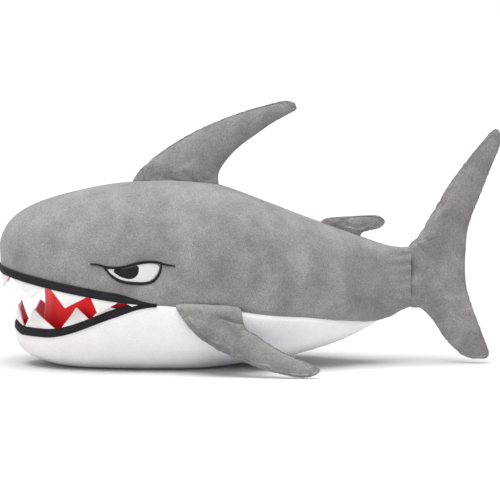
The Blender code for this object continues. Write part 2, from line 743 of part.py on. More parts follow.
def main():
    jaw = make_hinge("jaw_hinge", JAW_HINGE)
    make_back_skin()
    make_belly_skin()
    make_body_filling()
    make_palate_lining()
    make_mouth_wall()
    make_binding("upper_lip_binding", upper_lip, HEAD_RIDGE, flip=True)
    make_teeth("upper", upper_lip, UPPER_TEETH, -1.0)
    make_eyes()
    make_chin_skin(jaw)
    make_jaw_filling(jaw)
    make_mouth_floor_lining(jaw)
    make_binding("lower_lip_binding", lower_lip, JAW_KEEL, flip=False, parent=jaw)
    make_teeth("lower", lower_lip, LOWER_TEETH, 1.0, parent=jaw)
    make_standing_fins()
    make_pectoral_fins()


clear_scene()
COLLECTION = bpy.data.collections.new("plush_shark")
bpy.context.scene.collection.children.link(COLLECTION)
MATERIALS = {name: make_material(name) for name in COLOURS}
main()
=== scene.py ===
import math

import bmesh
import bpy
import numpy as np
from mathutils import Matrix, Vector, noise
from mathutils.bvhtree import BVHTree


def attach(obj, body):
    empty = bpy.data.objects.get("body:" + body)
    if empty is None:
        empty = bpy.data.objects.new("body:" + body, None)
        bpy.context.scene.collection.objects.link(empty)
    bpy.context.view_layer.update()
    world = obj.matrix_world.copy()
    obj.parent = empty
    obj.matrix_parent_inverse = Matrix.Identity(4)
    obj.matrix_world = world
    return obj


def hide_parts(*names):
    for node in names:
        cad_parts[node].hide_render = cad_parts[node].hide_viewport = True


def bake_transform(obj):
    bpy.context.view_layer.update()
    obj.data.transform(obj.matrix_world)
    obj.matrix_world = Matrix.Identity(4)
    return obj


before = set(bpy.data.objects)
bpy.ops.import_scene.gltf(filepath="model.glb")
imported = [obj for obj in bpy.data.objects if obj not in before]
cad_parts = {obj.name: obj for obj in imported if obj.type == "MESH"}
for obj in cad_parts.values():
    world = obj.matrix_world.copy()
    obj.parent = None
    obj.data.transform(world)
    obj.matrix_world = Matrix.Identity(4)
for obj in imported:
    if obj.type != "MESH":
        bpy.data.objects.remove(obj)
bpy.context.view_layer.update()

MM = 0.001

# ---- the body's form, as the CAD model has it ----
SECTION_POWER = 2.2       # 2 is an ellipse, more is squarer
TAPE_WIDTH = 9.0
TAPE_TAPER = 50.0         # over this length the bindings narrow towards the mouth corner
TAPE_END_WIDTH = 1.6
CORNER_X, CORNER_Y, CORNER_Z = -108.0, 99.0, 81.8
UPPER_REACH, UPPER_RISE = 190.0, 32.0
LOWER_REACH, LOWER_DROP = 172.0, 33.5
LOWER_HALF_WIDTH = 94.0
LIP_CURL = 5.0
PALATE_ARCH = 7.0
FLOOR_DIP = 8.0
WALL_REACH = 140.0        # the mouth's back wall bows forwards between the cheeks
WALL_HALF_WIDTH = 90.0
WALL_HOLLOW = 4.0
LINING_INSET = 2.9        # from the lip's edge in to the lining
UPPER_RISE_POWER = 1.35   # how the upper lip climbs from the corner
LIP_CORNER_POWER = 12     # a high power keeps the lower lip's widening close to the corner
CURL_START = 0.93         # share of the way to the front where the lower lip starts to curl up
LOWER_FALL = (0.1, 0.78)  # shares of that way between which the lower lip falls
CORNER_GAP = 1.0          # the lower lip starts this far in front of the upper one's corner
PLUSH_THICKNESS = 1.5
SATIN_THICKNESS = 0.8
TAPE_THICKNESS = 0.9
FELT_THICKNESS = 2.0
TAIL_GATHER = 0.7         # height of the small folds at the tail seam

HEAD_RIDGE = [(-300, 142), (-299, 151), (-295.5, 160.5), (-290, 170.5), (-281, 180), (-266, 189.5),
              (-246, 198), (-222, 205), (-197, 211), (-172, 216), (-141, 220), (-108, 221.5)]
JAW_KEEL = [(-282.5, 40), (-281.5, 32), (-277, 23), (-269, 15.5), (-256, 8.5), (-238, 2), (-216, -4),
            (-192, -8), (-166, -10), (-142, -11), (-119, -11)]
# Trunk behind the mouth: x, half width, z of greatest width, ridge z, keel z, side seam z.
TRUNK = [
    (-84, 102, 80.5, 221.5, -10, 80.5),
    (-60, 103, 81.5, 220, -8, 81.5),
    (-36, 101.5, 80.5, 216, -3, 80.5),
    (-14, 99, 79, 208, 1, 75.5),
    (12, 94, 77, 198, 4, 70.5),
    (36, 88, 76, 189, 8, 67.5),
    (62, 79, 76, 179.5, 14, 65),
    (88, 67, 78, 170.5, 22, 61),
    (112, 53, 83, 162, 30.5, 57),
    (136, 38, 90, 152.5, 41.5, 53.5),
    (160, 24, 97, 144.5, 53.5, 55),
    (178, 16, 102, 141.5, 62, 62),
    (193, 11.5, 105, 141, 69.5, 69.5),
]
WHITE_ENDS = 10           # the white panel runs to a point at this station

# Teeth along each half of a lip, from the mid line: start, end, height, place of the tip from 0 to 1.
UPPER_TEETH = [(1.5, 44, 16, 0.55), (48, 104, 18, 0.62), (110, 156, 19, 0.4), (161, 194, 18, 0.25),
               (204, 217, 2.6, 0.5)]
LOWER_TEETH = [(1.5, 34, 22, 0.5), (37.5, 87, 24, 0.34), (96, 134, 20, 0.56), (139, 171, 9, 0.45)]
TOOTH_CURVE = 0.85        # under 1, so that the sides of a tooth bow outwards
TOOTH_LEAN = 0.25         # share by which the outline draws in towards the tip
TOOTH_BOW = 0.9

# Embroidered eye, seen from the side: x, z.
EYE_WHITE = [(-164, 122.6), (-159, 117.8), (-149, 112.8), (-136, 110.6), (-123, 110.4), (-115, 113),
             (-109, 119.5), (-107, 126.5), (-113, 129.2), (-121, 129), (-132, 127), (-144, 123.9),
             (-156, 122.4)]
EYE_PUPIL = [(-157, 122), (-154.5, 119), (-149, 116), (-141, 114), (-135.5, 115), (-131.8, 118.4),
             (-130.6, 122.8), (-131.4, 126.4), (-138, 125), (-146, 123)]
BROW_LINE = [(-186, 129.6), (-176, 128.6), (-166, 126), (-156, 125.3), (-144, 127), (-132, 130.4),
             (-120, 132.3), (-108, 132), (-98, 129.4), (-86.5, 128)]
LOWER_LID_LINE = [(-170, 125.8), (-166, 121.4), (-160, 115.4), (-149.5, 109.8), (-136, 107.8),
                  (-122, 107.6), (-112.3, 110.6), (-106, 118), (-103.6, 125), (-103, 130.4)]
LINE_WIDTH = 3.3
PATCH_TUCK = 1.5          # the white and the pupil run under the lines by this much

# Fins: rows from the root to the tip: front edge, rear edge (x, z), half thickness.
DORSAL_FIN = [
    ((-140, 211), (-36, 207), 6.5),
    ((-141, 220), (-37, 216.5), 8.0),
    ((-131, 234), (-37, 230), 11.0),
    ((-111, 252), (-28, 245), 11.5),
    ((-84, 270), (-14, 260), 10.5),
    ((-50, 287), (6, 275), 9.0),
    ((-12, 302), (26, 289), 7.0),
    ((26, 313), (44, 299), 5.0),
    ((44, 316.3), (53, 303.8), 3.4),
    ((54, 313.5), (56, 307.5), 1.8),
]
REAR_DORSAL_FIN = [
    ((80, 165), (131, 147), 4.0),
    ((88, 174.8), (134, 157), 4.6),
    ((104, 177.3), (141, 160.5), 5.8),
    ((122, 178.5), (149, 162.5), 5.5),
    ((139, 179.3), (156, 164.5), 4.6),
    ((151, 179.3), (161.3, 169.8), 3.2),
    ((157, 177.5), (161.6, 173.2), 1.8),
]
# The tail's rows run from the upper tip to the lower one. The last value says how open the front edge is.
TAIL_FIN = [
    ((293.2, 282.7), (297, 281.6), 1.0, 0),
    ((289, 280), (299.2, 276), 2.2, 0),
    ((280, 270.5), (298.5, 262), 3.4, 0),
    ((261, 247), (289, 238), 5.5, 0),
    ((239, 217), (277, 207), 7.5, 0),
    ((219, 182), (266, 179), 9.0, 0),
    ((202, 154), (261, 160), 10.0, 0.3),
    ((190, 139), (259.5, 143), 11.0, 0.9),
    ((188, 106), (258.5, 122), 11.5, 1.0),
    ((190, 72), (259.5, 100), 11.0, 0.9),
    ((205, 67), (264, 79), 9.5, 0.2),
    ((220, 52), (272, 57), 7.5, 0),
    ((235, 30), (280, 36), 5.5, 0),
    ((250.5, 14.5), (287.3, 17), 3.6, 0),
    ((259, 9), (287.2, 9.4), 2.7, 0),
    ((268.5, 6), (283, 6), 1.4, 0),
]
# The left pectoral fin, rows from its root: front point, rear point (x, y, z), half thickness.
PECTORAL_FIN = [
    ((-80, -97, 85.5), (-14, -96, 80.5), 3.0),
    ((-86, -103, 80), (-9, -103.5, 74.5), 6.5),
    ((-70, -110, 57), (-5, -110, 58), 8.0),
    ((-50, -112.5, 40), (12, -113, 46), 8.0),
    ((-22, -116, 25), (32, -117, 33.5), 7.2),
    ((10, -121, 12.5), (52, -120.5, 24.5), 6.0),
    ((38, -124.5, 4.8), (68, -123.5, 18), 4.6),
    ((56, -127, 1.9), (76.5, -126, 14.5), 3.4),
    ((68, -127.3, 2.2), (80.3, -126.7, 12), 2.6),
    ((76, -127.5, 4.6), (81, -127.3, 8.8), 1.2),
]
PECTORAL_CREASE = ((-36, 70.5), (-4, 60))
PECTORAL_OUT = (0.955, 0.297)        # sideways and upwards, the way the fin's panel faces


# ---- small tools ----
def smoothstep(low, high, value):
    share = np.clip((value - low) / (high - low), 0.0, 1.0)
    return share * share * (3.0 - 2.0 * share)


def mix(start, end, share):
    return start + (end - start) * share


def power_cos(angle, power):
    return np.maximum(np.cos(angle), 0.0) ** (2.0 / power)


def power_sin(angle, power):
    return np.sign(angle) * np.abs(np.sin(angle)) ** (2.0 / power)


def through(table, places):
    """A smooth curve through a table's rows, read at the given row numbers (Catmull-Rom)."""
    table = np.asarray(table, float)
    last = len(table) - 1
    places = np.clip(places, 0.0, last)
    low = np.minimum(places.astype(int), last - 1)
    share = (places - low)[:, None]
    before, start = table[np.maximum(low - 1, 0)], table[low]
    end, after = table[low + 1], table[np.minimum(low + 2, last)]
    return 0.5 * (2 * start + (end - before) * share + (2 * before - 5 * start + 4 * end - after) * share ** 2
                  + (3 * start - before - 3 * end + after) * share ** 3)


def eased(count):
    """Numbers from 0 to 1, closer together at both ends, where the seams are."""
    return 0.5 - 0.5 * np.cos(np.linspace(0.0, math.pi, count))


def soft_noise(points, size, seed=0.0):
    """Smooth noise from -1 to 1 at points in millimetres; size is the distance between its bumps."""
    shift = Vector((seed, seed * 0.37, -seed))
    flat = points.reshape(-1, 3)
    values = np.array([noise.noise(Vector(point) / size + shift) for point in flat])
    return values.reshape(points.shape[:-1])


def grid_normals(points):
    """Unit normals of a grid of points."""
    along = np.gradient(points, axis=0)
    across = np.gradient(points, axis=1)
    normals = np.cross(along, across)
    return normals / np.maximum(np.linalg.norm(normals, axis=2, keepdims=True), 1e-9)


def grid_mesh(name, points, closed=False, flip=False):
    """A mesh through a grid of points in millimetres; closed joins each row's last point to its first."""
    rows, columns = points.shape[:2]
    corners = []
    for row in range(rows - 1):
        for column in range(columns if closed else columns - 1):
            following = (column + 1) % columns
            start, end = row * columns, (row + 1) * columns
            corners.append((start + column, start + following, end + following, end + column))
    if flip:
        corners = [face[::-1] for face in corners]
    mesh = bpy.data.meshes.new(name)
    mesh.from_pydata((points.reshape(-1, 3) * MM).tolist(), [], corners)
    mesh.validate()
    item = bpy.data.objects.new(name, mesh)
    bpy.context.scene.collection.objects.link(item)
    return item


def weld(item, distance=0.02):
    shape = bmesh.new()
    shape.from_mesh(item.data)
    bmesh.ops.remove_doubles(shape, verts=shape.verts, dist=distance * MM)
    bmesh.ops.dissolve_degenerate(shape, edges=shape.edges, dist=distance * MM * 0.5)
    bmesh.ops.recalc_face_normals(shape, faces=shape.faces)
    if shape.calc_volume(signed=True) < 0.0:
        bmesh.ops.reverse_faces(shape, faces=shape.faces)
    shape.to_mesh(item.data)
    shape.free()


def apply_modifiers(item):
    graph = bpy.context.evaluated_depsgraph_get()
    mesh = bpy.data.meshes.new_from_object(item.evaluated_get(graph))
    item.modifiers.clear()
    item.data = mesh


def add_thickness(item, thickness, offset=-1.0):
    cloth = item.modifiers.new("Cloth thickness", "SOLIDIFY")
    cloth.thickness = thickness * MM
    cloth.offset = offset


def dress(item, material):
    item.data.materials.clear()
    item.data.materials.append(material)
    item.data.shade_smooth()


# ---- the lips ----
def upper_lip(angle):
    reach = power_cos(angle, 2.3)
    return np.stack([CORNER_X - UPPER_REACH * reach, CORNER_Y * power_sin(angle, 2.2),
                     CORNER_Z + UPPER_RISE * reach ** UPPER_RISE_POWER], axis=-1)


def lower_lip(angle):
    """The lower lip widens at its rear end, to meet the upper one at the mouth corner."""
    reach = power_cos(angle, 1.9)
    drop = LOWER_DROP * smoothstep(LOWER_FALL[0], LOWER_FALL[1], reach)
    curl = LIP_CURL * smoothstep(CURL_START, 1.0, reach)
    widening = (CORNER_Y - LOWER_HALF_WIDTH) * np.abs(np.sin(angle)) ** LIP_CORNER_POWER
    across = LOWER_HALF_WIDTH * np.sin(angle) + widening
    x = CORNER_X - CORNER_GAP - (LOWER_REACH - CORNER_GAP) * reach
    return np.stack([x, across, CORNER_Z - drop + curl], axis=-1)


def tape_height(x):
    return mix(TAPE_END_WIDTH, TAPE_WIDTH, smoothstep(0.0, TAPE_TAPER, CORNER_X - x))


def section(wide, ridge_x, ridge_z, angle):
    """Points of a quarter section from its widest point to the ridge, or down to the keel."""
    across, up = power_cos(angle, SECTION_POWER), np.abs(power_sin(angle, SECTION_POWER))
    x = mix(wide[..., 0], ridge_x, up)
    y = wide[..., 1] * across
    z = mix(wide[..., 2], ridge_z, up)
    return np.stack([x, y, z], axis=-1)


# ---- body cloth ----
ROWS_PER_STATION = 9
ACROSS = 76


def lip_stations(lip, table, trunk_keys):
    """Rows of (widest x, y, z, ridge x, ridge z, seam z), from the front of a lip to the tail."""
    angles = np.linspace(0.0, math.pi / 2.0, len(table))
    edges = lip(angles)
    rows = [[*edge, x, z, edge[2]] for edge, (x, z) in zip(edges, table)]
    for x, half_width, middle, ridge, keel, seam in TRUNK:
        rows.append([x, half_width, middle, x, ridge if trunk_keys == "ridge" else keel, max(seam, keel)])
    return np.array(rows)


def fine_rows(stations, lip, count):
    """The stations' values at many rows; along the lip they follow its own curve."""
    lip_rows = count - 1
    places = np.linspace(0.0, len(stations) - 1, (len(stations) - 1) * ROWS_PER_STATION + 1)
    rows = through(stations, places)
    on_lip = places <= lip_rows
    exact = lip(places[on_lip] / lip_rows * math.pi / 2.0)
    rows[on_lip, :3] = exact
    rows[on_lip, 5] = exact[:, 2]
    return rows, places


def back_grid():
    """The grey back's left half, from the upper lip and the side seam up to the spine."""
    stations = lip_stations(upper_lip, HEAD_RIDGE, "ridge")
    rows, places = fine_rows(stations, upper_lip, len(HEAD_RIDGE))
    keels = np.interp(rows[:, 3], [station[0] for station in TRUNK], [station[4] for station in TRUNK])
    depth = np.clip((rows[:, 2] - rows[:, 5]) / np.maximum(rows[:, 2] - keels, 1.0), 0.0, 1.0)
    start = -np.arcsin(depth ** (SECTION_POWER / 2.0))
    share = eased(ACROSS)[None, :]
    angle = start[:, None] + (math.pi / 2.0 - start[:, None]) * share
    wide = np.broadcast_to(rows[:, None, :3], (*angle.shape, 3))
    ridge_z = np.where(angle >= 0.0, rows[:, None, 4], keels[:, None])
    return section(wide, rows[:, None, 3], ridge_z, angle), places


def white_grid():
    """The white underside's left half, from the lower lip and the side seam down to the keel."""
    stations = lip_stations(lower_lip, JAW_KEEL, "keel")[:len(JAW_KEEL) + WHITE_ENDS + 1]
    rows, places = fine_rows(stations, lower_lip, len(JAW_KEEL))
    depth = np.clip((rows[:, 2] - rows[:, 5]) / np.maximum(rows[:, 2] - rows[:, 4], 1.0), 0.0, 1.0)
    start = np.arcsin(depth ** (SECTION_POWER / 2.0))
    angle = start[:, None] + (math.pi / 2.0 - start[:, None]) * eased(ACROSS)[None, :]
    wide = np.broadcast_to(rows[:, None, :3], (*angle.shape, 3))
    points = section(wide, rows[:, None, 3], np.broadcast_to(rows[:, None, 4], angle.shape), angle)
    return points, places


def settle_on_floor(points, softness=3.0, clearance=0.15):
    """Presses the underside flat where it meets the floor, with a soft edge."""
    z = points[..., 2]
    points[..., 2] = 0.5 * (z + np.sqrt(z * z + softness ** 2)) + clearance
    return points


def arc_lengths(points):
    steps = np.linalg.norm(np.diff(points, axis=1), axis=2)
    return np.concatenate([np.zeros((len(points), 1)), np.cumsum(steps, axis=1)], axis=1)


def sink_seam(points, normals, distance, depth, width, pucker):
    """Draws the cloth in along a seam, a little unevenly, as stitches do."""
    stitches = 1.0 + pucker * soft_noise(points, 9.0, 4.0)
    return points - normals * (depth * stitches * np.exp(-(distance / width) ** 2))[..., None]


def unevenness(points, normals, amount, size, seed):
    swell = soft_noise(points, size, seed) + 0.35 * soft_noise(points, size * 0.4, seed + 3.0)
    return points + normals * (amount * swell)[..., None]


def eye_dimple(points, normals):
    """The dense stitching draws the plush in round each eye."""
    away = np.hypot((points[..., 0] + 134.0) / 34.0, (points[..., 2] - 120.0) / 17.0)
    side = smoothstep(40.0, 70.0, np.abs(points[..., 1]))
    return points - normals * (2.2 * side * np.exp(-away ** 4))[..., None]


def tail_gathers(points, normals, strength):
    """Small folds where the trunk narrows into the tail seam."""
    x = points[..., 0]
    near = smoothstep(150.0, 190.0, x)
    fold = np.sin(points[..., 2] * 0.55 + 1.3 * np.sin(x * 0.08))
    return points + normals * (strength * near * fold)[..., None]


def both_halves(left, inner):
    """The whole panel from its left half; inner says which way the rows run at the mid line."""
    right = left[:, ::-1].copy()
    left = left.copy()
    left[..., 1] *= -1.0
    return np.concatenate([left, right[:, 1:] if inner else right], axis=1)


def make_back():
    half, places = back_grid()
    normals = grid_normals(half)
    lengths = arc_lengths(half)
    sunk = smoothstep(len(HEAD_RIDGE) - 1.5, len(HEAD_RIDGE) - 0.2, places)
    sunk *= smoothstep(len(HEAD_RIDGE) + WHITE_ENDS, len(HEAD_RIDGE) + WHITE_ENDS - 1.5, places)
    half = sink_seam(half, normals * outward_sign(half, normals), lengths, 2.0 * sunk[:, None], 3.0, 0.5)
    whole = both_halves(half, inner=True)
    normals = grid_normals(whole)
    normals *= outward_sign(whole, normals)
    spine = np.abs(whole[..., 1]) + 60.0 * smoothstep(0.0, 1.0, (150.0 - whole[..., 2]) / 60.0)
    whole = sink_seam(whole, normals, spine, 0.9, 1.8, 0.6)
    whole = unevenness(whole, normals, 1.1, 70.0, 1.0)
    whole = eye_dimple(whole, normals)
    whole = tail_gathers(whole, normals, TAIL_GATHER)
    body = grid_mesh("back_skin", whole)
    face_away_from_middle(body)
    add_thickness(body, PLUSH_THICKNESS)
    return body


def outward_sign(points, normals):
    centre = np.array([0.0, 0.0, 100.0])
    away = points - centre
    away[..., 0] *= 0.2
    return np.sign(np.sum(normals * away, axis=2).mean()) or 1.0


def face_away_from_middle(item):
    total = 0.0
    for face in item.data.polygons:
        away = face.center - Vector((face.center.x, 0.0, 0.1))
        total += face.normal.dot(away) * face.area
    if total < 0.0:
        item.data.flip_normals()


def make_underside():
    half, places = white_grid()
    half = settle_on_floor(half)
    normals = grid_normals(half)
    lengths = arc_lengths(half)
    behind_mouth = smoothstep(len(JAW_KEEL) - 1.5, len(JAW_KEEL) - 0.2, places)[:, None]
    half = sink_seam(half, normals * outward_sign(half, normals), lengths, 2.0 * behind_mouth, 3.0, 0.5)
    whole = both_halves(half, inner=True)
    normals = grid_normals(whole)
    normals *= outward_sign(whole, normals)
    lifted = smoothstep(1.0, 14.0, whole[..., 2])
    whole = unevenness(whole, normals * lifted[..., None], 1.2, 60.0, 7.0)
    whole = tail_gathers(whole, normals, TAIL_GATHER)
    whole -= normals * (2.5 * smoothstep(places[-1] - 1.3, places[-1], places))[:, None, None]
    skin = grid_mesh("underside_skin", whole)
    face_away_from_middle(skin)
    add_thickness(skin, PLUSH_THICKNESS)
    return skin


# ---- lips, mouth and teeth ----
def lip_frames(lip, table, count):
    """Along a lip: its edge points, the direction into the cloth, and outwards, for both sides."""
    angles = np.linspace(-math.pi / 2.0, math.pi / 2.0, count)
    edge = lip(np.abs(angles))
    places = np.abs(angles) / (math.pi / 2.0) * (len(table) - 1)
    ridge = through(table, places)
    full = np.abs(ridge[:, 1] - edge[:, 2])
    height = tape_height(edge[:, 0])
    turn = np.arcsin((height / full) ** (SECTION_POWER / 2.0))
    upper = section(edge, ridge[:, 0], ridge[:, 1], turn)
    side = np.sign(angles)
    edge[:, 1] *= side
    upper[:, 1] *= side
    inwards = upper - edge
    inwards /= np.linalg.norm(inwards, axis=1, keepdims=True)
    along = np.gradient(edge, axis=0)
    along /= np.linalg.norm(along, axis=1, keepdims=True)
    outwards = np.cross(along, inwards)
    away = edge - np.array([-150.0, 0.0, 80.0])
    outwards *= np.sign(np.sum(outwards * away, axis=1, keepdims=True))
    outwards /= np.linalg.norm(outwards, axis=1, keepdims=True)
    return edge, inwards, outwards, height


# The folded tape's section: outwards, and into the cloth as a share of its width.
TAPE_SECTION = [(0.7, 1.0), (1.25, 0.93), (1.5, 0.8), (1.15, 0.72), (1.6, 0.6), (1.9, 0.35), (1.7, 0.12),
                (0.9, -0.05), (-0.4, -0.12), (-1.5, -0.04), (-2.0, 0.1), (-2.1, 0.28), (-1.9, 0.42)]


def make_binding(name, lip, table):
    """A woven tape folded over the lip and stitched through; it narrows to a point at each corner."""
    edge, inwards, outwards, height = lip_frames(lip, table, 241)
    profile = through(TAPE_SECTION, np.linspace(0.0, len(TAPE_SECTION) - 1, 37))
    share = (height / TAPE_WIDTH)[:, None, None]
    points = (edge[:, None] + outwards[:, None] * profile[None, :, :1] * share ** 0.5
              + inwards[:, None] * profile[None, :, 1:] * height[:, None, None])
    wave = 0.22 * soft_noise(points, 11.0, 2.0)
    points = points + outwards[:, None] * wave[..., None]
    tape = grid_mesh(name, points)
    face_away_from_middle(tape)
    add_thickness(tape, TAPE_THICKNESS, 0.0)
    return tape


def lining_grid(lip, rise, front, count=96):
    """A lining from inside one side's binding across to the other."""
    angles = np.linspace(front, math.pi / 2.0, count)
    edge = lip(angles)
    width = np.maximum(edge[:, 1] - LINING_INSET, 0.5)[:, None]
    share = np.sin(np.linspace(-math.pi / 2.0, math.pi / 2.0, 141))[None, :]
    from_edge = (1.0 - np.abs(share)) * width
    behind_tape = 0.85 * tape_height(edge[:, :1]) * (1.0 - np.exp(-from_edge / 2.5))
    swell = abs(rise) * (1.0 - np.abs(share) ** 2.4) * smoothstep(0.0, 30.0, width)
    points = np.empty((count, 141, 3))
    points[..., 0] = edge[:, :1] + LINING_INSET * smoothstep(60.0, 0.0, width)
    points[..., 1] = width * share
    points[..., 2] = edge[:, 2:] + math.copysign(1.0, rise) * (behind_tape + swell)
    return points


def satin_folds(points, amount):
    """Slack satin: long soft folds that run front to back, and small creases by the edges."""
    stretched = points * np.array([0.35, 1.0, 0.6])
    folds = soft_noise(stretched, 17.0, 5.0) + 0.5 * soft_noise(stretched, 8.0, 9.0)
    edge = 1.0 - np.abs(np.linspace(-1.0, 1.0, points.shape[1]))[None, :] ** 6
    points = points.copy()
    points[..., 2] += amount * folds * edge
    return points


def make_palate():
    points = satin_folds(lining_grid(upper_lip, PALATE_ARCH, 0.12), 1.2)
    lining = grid_mesh("palate", points)
    add_thickness(lining, SATIN_THICKNESS)
    return lining


def make_mouth_floor():
    points = satin_folds(lining_grid(lower_lip, -FLOOR_DIP, 0.12), 1.2)
    lining = grid_mesh("mouth_floor", points)
    add_thickness(lining, SATIN_THICKNESS)
    return lining


def height_at(target):
    """Finds how high a lining lies above or below a place inside the mouth."""
    graph = bpy.context.evaluated_depsgraph_get()
    tree = BVHTree.FromObject(target, graph)

    def find(x, y, upwards):
        start = Vector((x * MM, y * MM, CORNER_Z * MM))
        place, _normal, _index, _distance = tree.ray_cast(start, Vector((0.0, 0.0, upwards)))
        return place.z / MM if place else CORNER_Z + upwards * 6.0
    return find


def make_mouth_wall(palate, floor):
    """The mouth's back wall, from one cheek to the other; it runs a little into both linings."""
    top, bottom = height_at(palate), height_at(floor)
    columns = []
    for angle in np.linspace(-math.pi / 2.0, math.pi / 2.0, 91):
        x = CORNER_X - 2.0 - WALL_REACH * math.cos(angle)
        y = WALL_HALF_WIDTH * math.sin(angle)
        high, low = top(x, y, 1.0) + 1.5, bottom(x, y, -1.0) - 1.5
        share = np.linspace(0.0, 1.0, 25)
        hollow = WALL_HOLLOW * np.sin(math.pi * share) * math.cos(angle)
        column = np.stack([x + hollow, np.full(25, y), mix(high, low, share)], axis=-1)
        columns.append(column)
    points = np.array(columns)
    normals = grid_normals(points)
    creases = soft_noise(points * np.array([1.0, 1.0, 0.45]), 15.0, 3.0)
    lining = grid_mesh("mouth_wall", points + normals * (1.3 * creases)[..., None])
    add_thickness(lining, SATIN_THICKNESS, 0.0)
    return lining


def lip_by_length(lip, steps=600):
    """Returns a function from a length along half a lip, from its front, to the point there."""
    points = lip(np.linspace(0.0, math.pi / 2.0, steps))
    lengths = np.concatenate([[0.0], np.cumsum(np.linalg.norm(np.diff(points, axis=0), axis=1))])
    return lambda length: np.stack(
        [np.interp(length, lengths, points[:, axis]) for axis in range(3)], axis=-1)


def make_tooth(name, place, tooth, direction, side):
    """A felt tooth cut from sheet: a pointed outline with soft edges, set behind the binding."""
    start, end, height, tip = tooth
    share = np.linspace(0.0, 1.0, 25)
    base = place(mix(start, end, share))
    rise = np.minimum(np.where(share < tip, share / tip, (1.0 - share) / (1.0 - tip)), 1.0)
    length = height * rise ** TOOTH_CURVE
    toe = place(mix(start, end, share) + (tip - share) * TOOTH_LEAN * (end - start) * rise ** TOOTH_CURVE)
    middle = np.array([-170.0, 0.0])
    away = base[:, :2] - middle
    away /= np.linalg.norm(away, axis=1, keepdims=True)
    rows = []
    for step in np.linspace(-0.45, 1.0, 13):
        along = max(step, 0.0)
        row = mix(base, toe, along)
        row[:, 2] = base[:, 2] + direction * (0.6 + np.where(step < 0.0, step * 6.0, length * along))
        bow = TOOTH_BOW * math.sin(math.pi * along) * rise
        row[:, :2] += away * (bow - TOOTH_BOW)[:, None]
        row[:, 1] *= side
        rows.append(row)
    felt = grid_mesh(name, np.array(rows))
    weld(felt, 0.05)
    add_thickness(felt, FELT_THICKNESS, 0.0)
    apply_modifiers(felt)
    soften = felt.modifiers.new("Cut edge", "BEVEL")
    soften.width = 0.6 * MM
    soften.segments = 3
    soften.limit_method = "ANGLE"
    return felt


def make_teeth(prefix, lip, table, direction):
    place = lip_by_length(lip)
    teeth = []
    for side_name, side in (("left", -1.0), ("right", 1.0)):
        for number, tooth in enumerate(table, start=1):
            name = f"{prefix}_tooth_{side_name}_{number}"
            teeth.append((make_tooth(name + "_felt", place, tooth, direction, side), name))
    return teeth


# ---- eyes ----
def surface_below(target):
    """Finds the point and normal of a surface straight across from a place beside it."""
    graph = bpy.context.evaluated_depsgraph_get()
    tree = BVHTree.FromObject(target, graph)

    def find(x, z, side):
        start = Vector((x * MM, side * 0.2, z * MM))
        place, normal, _index, _distance = tree.ray_cast(start, Vector((0.0, -side, 0.0)))
        return place, normal
    return find


def smooth_outline(points, count, closed):
    table = list(points)
    if closed:
        table = table[-1:] + table + table[:2]
        return through(table, np.linspace(1.0, len(points) + 1.0, count, endpoint=False))
    return through(table, np.linspace(0.0, len(points) - 1.0, count))


def make_patch(name, outline, find, side, height, base):
    """A domed patch of satin stitch that runs a little under the lines round it."""
    ring = smooth_outline(outline, 72, closed=True)
    centre = ring.mean(axis=0)
    along = np.roll(ring, -1, axis=0) - np.roll(ring, 1, axis=0)
    across = np.stack([along[:, 1], -along[:, 0]], axis=1) / np.linalg.norm(along, axis=1, keepdims=True)
    ring += across * np.sign(np.sum(across * (ring - centre))) * PATCH_TUCK
    rows = []
    for share in (1.0, 0.985, 0.95, 0.88, 0.76, 0.6, 0.42, 0.22, 0.06):
        rise = base + height * (1.0 - share ** 6) if share < 1.0 else base - 0.7
        row = []
        for x, z in centre + (ring - centre) * share:
            place, normal = find(x, z, side)
            row.append([c / MM for c in place + normal * rise * MM])
        rows.append(row)
    patch = grid_mesh(name, np.array(rows), closed=True)
    cap = bmesh.new()
    cap.from_mesh(patch.data)
    cap.verts.ensure_lookup_table()
    inner = [cap.verts[len(cap.verts) - len(ring) + index] for index in range(len(ring))]
    cap.faces.new(inner)
    bmesh.ops.recalc_face_normals(cap, faces=cap.faces)
    cap.to_mesh(patch.data)
    cap.free()
    face_sideways(patch, side)
    return patch


def face_sideways(item, side):
    if sum(face.normal.y * face.area for face in item.data.polygons) * side < 0.0:
        item.data.flip_normals()


def make_line(name, points, find, side, height, base):
    """A raised line of satin stitch with pointed ends."""
    middle = smooth_outline(points, 120, closed=False)
    along = np.gradient(middle, axis=0)
    along /= np.linalg.norm(along, axis=1, keepdims=True)
    across = np.stack([-along[:, 1], along[:, 0]], axis=1)
    share = np.linspace(0.0, 1.0, len(middle))
    width = LINE_WIDTH * 0.5 * mix(0.35, 1.0, np.sqrt(np.sin(math.pi * share).clip(0.0)))
    stitches = 1.0 + 0.05 * np.where(np.arange(len(middle)) % 2, 1.0, -1.0)
    rows = []
    for index, place in enumerate(middle):
        row = []
        for turn in np.linspace(0.0, math.pi, 9):
            x, z = place + across[index] * math.cos(turn) * width[index] * stitches[index]
            spot, normal = find(x, z, side)
            fullness = (width[index] / (LINE_WIDTH * 0.5)) ** 0.5
            rise = base + height * math.sin(turn) * stitches[index] * fullness
            row.append([c / MM for c in spot + normal * rise * MM])
        rows.append(row)
    line = grid_mesh(name, np.array(rows))
    face_sideways(line, side)
    return line


